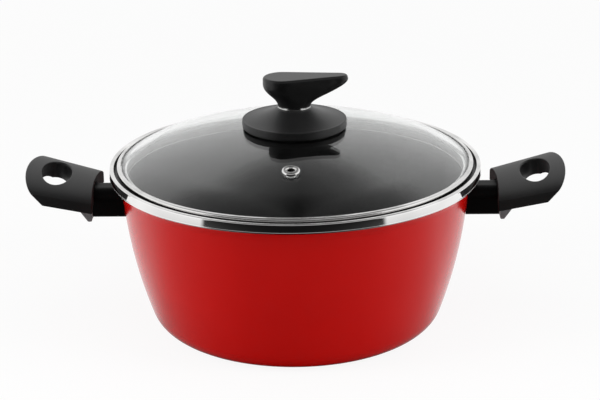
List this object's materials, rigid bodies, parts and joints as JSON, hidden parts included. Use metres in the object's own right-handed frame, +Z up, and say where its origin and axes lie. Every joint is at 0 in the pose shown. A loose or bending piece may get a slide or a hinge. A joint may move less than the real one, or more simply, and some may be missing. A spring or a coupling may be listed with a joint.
{
  "type": "casserole with a glass lid",
  "caption": "Red coated metal casserole with a domed glass lid in a steel band, a black paddle knob and black handles with finger holes that slide off when a trigger is pulled.",
  "frame": {"origin": "middle of the flat base, on the surface it stands on", "axes": "+X along the line of the handles, towards the knob's long side; -Y to the front, where the vent is; +Z up"},
  "size_m": [0.3626, 0.2502, 0.1718],
  "materials": {
    "red_coat": "gloss red coat outside, black non-stick coat inside",
    "bright_steel": "polished",
    "lid_glass": "clear",
    "black_plastic": "fine satin grain",
    "black_rubber": "matte",
    "grey_plastic": "matte",
    "plain_steel": "satin",
    "brass": "plain"
  },
  "bodies": {
    "pot": {"pot_body": "red_coat", "rim_band": "bright_steel", "bracket_right": "plain_steel", "bracket_left": "plain_steel", "neck_right": "black_plastic", "neck_left": "black_plastic", "neck_screw_right": "plain_steel", "neck_screw_left": "plain_steel"},
    "lid": {"lid_glass": "lid_glass", "lid_band": "bright_steel", "vent_eyelet": "bright_steel", "knob_gasket": "black_rubber", "knob_base": "black_plastic", "knob_grip": "black_plastic", "knob_insert": "brass", "lid_screw": "plain_steel", "lid_washer": "plain_steel", "lid_seal": "black_rubber"},
    "handle_right": {"grip_right": "black_plastic", "latch_spring_right": "plain_steel", "trigger_pin_right": "plain_steel"},
    "trigger_right": {"trigger_right": "grey_plastic"},
    "handle_left": {"grip_left": "black_plastic", "latch_spring_left": "plain_steel", "trigger_pin_left": "plain_steel"},
    "trigger_left": {"trigger_left": "grey_plastic"}
  },
  "joints": [
    {"name": "lid_lift", "type": "slide", "parent": "pot", "child": "lid", "axis": [0, 0, 1], "range_m": [0, 0.15]},
    {"name": "handle_right_slide", "type": "slide", "parent": "pot", "child": "handle_right", "axis": [1, 0, 0], "range_m": [0, 0.03]},
    {"name": "trigger_right_pull", "type": "hinge", "parent": "handle_right", "child": "trigger_right", "pos_m": [0.1472, 0, 0.0856], "axis": [0, -1, 0], "range_deg": [0, 18], "stiffness_Nm_per_rad": 0.05, "springref_deg": -11.46, "deforming": ["latch_spring_right"]},
    {"name": "handle_left_slide", "type": "slide", "parent": "pot", "child": "handle_left", "axis": [-1, 0, 0], "range_m": [0, 0.03]},
    {"name": "trigger_left_pull", "type": "hinge", "parent": "handle_left", "child": "trigger_left", "pos_m": [-0.1472, 0, 0.0856], "axis": [0, 1, 0], "range_deg": [0, 18], "stiffness_Nm_per_rad": 0.05, "springref_deg": -11.46, "deforming": ["latch_spring_left"]}
  ]
}
